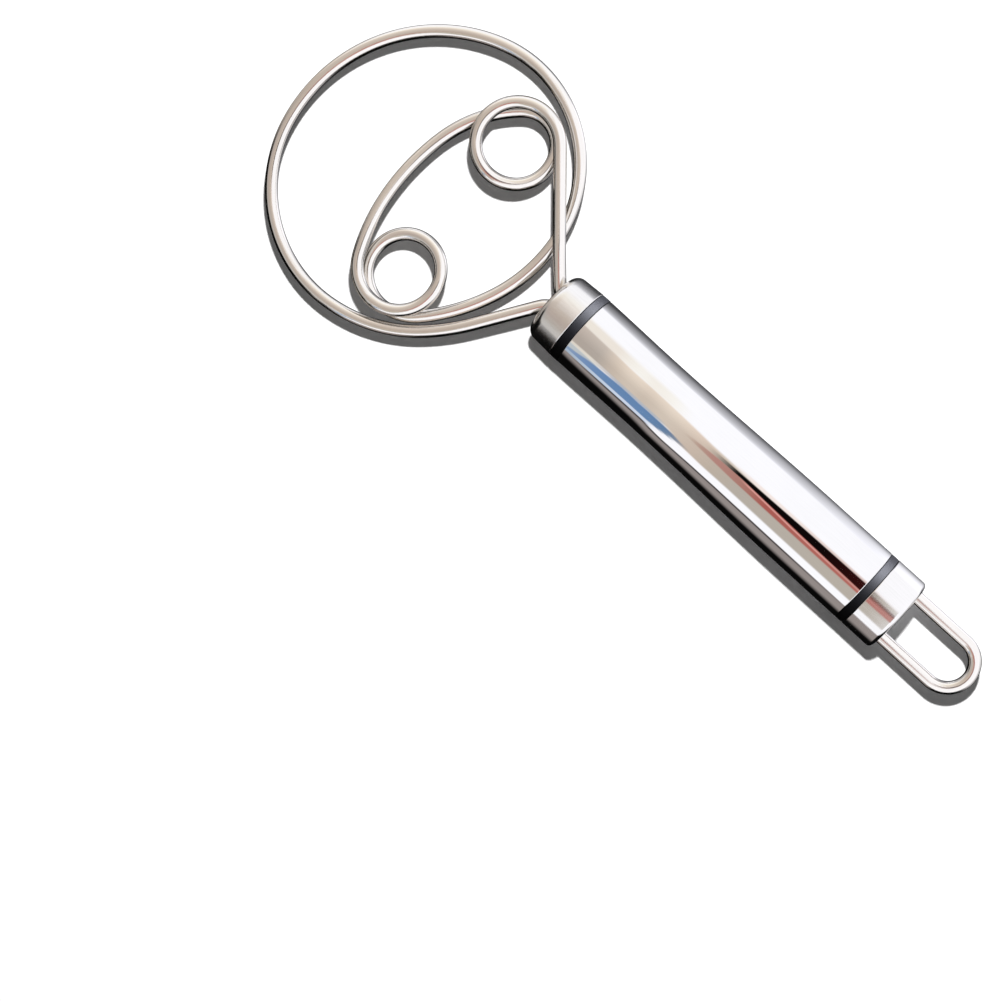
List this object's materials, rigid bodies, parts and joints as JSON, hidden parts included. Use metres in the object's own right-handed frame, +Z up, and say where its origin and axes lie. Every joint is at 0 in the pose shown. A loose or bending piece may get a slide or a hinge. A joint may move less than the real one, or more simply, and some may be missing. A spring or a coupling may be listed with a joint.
{
  "type": "dough whisk",
  "caption": "Dough whisk: a flat whisk of looped stainless wire with inner coils, on a hollow polished steel handle with black rings, end collars and a wire hanging loop.",
  "frame": {"origin": "middle of the whisk's bounding box in x and y, on the surface that the handle lies on", "axes": "+X along the handle's axis towards the whisk's head, +Z up and square to the head's plane, +Y across the head"},
  "size_m": [0.2396, 0.0888, 0.0221],
  "materials": {
    "wire_steel": "polished",
    "collar_steel": "gloss",
    "tube_steel": "polished",
    "plain_steel": "satin",
    "black_rubber": "satin",
    "black_nylon": "matte"
  },
  "bodies": {
    "root": {"whisk_wire": "wire_steel", "hanging_loop": "wire_steel", "front_collar": "collar_steel", "rear_collar": "collar_steel", "handle_tube": "tube_steel", "front_ring": "black_rubber", "rear_ring": "black_rubber", "front_plug": "black_nylon", "rear_plug": "black_nylon", "wire_anchor": "plain_steel", "wire_screw_1": "plain_steel", "wire_screw_2": "plain_steel", "tie_rod": "plain_steel", "rod_washer": "plain_steel", "rod_nut": "plain_steel", "loop_plate": "plain_steel", "loop_clip_1": "plain_steel", "loop_clip_2": "plain_steel"}
  },
  "joints": []
}
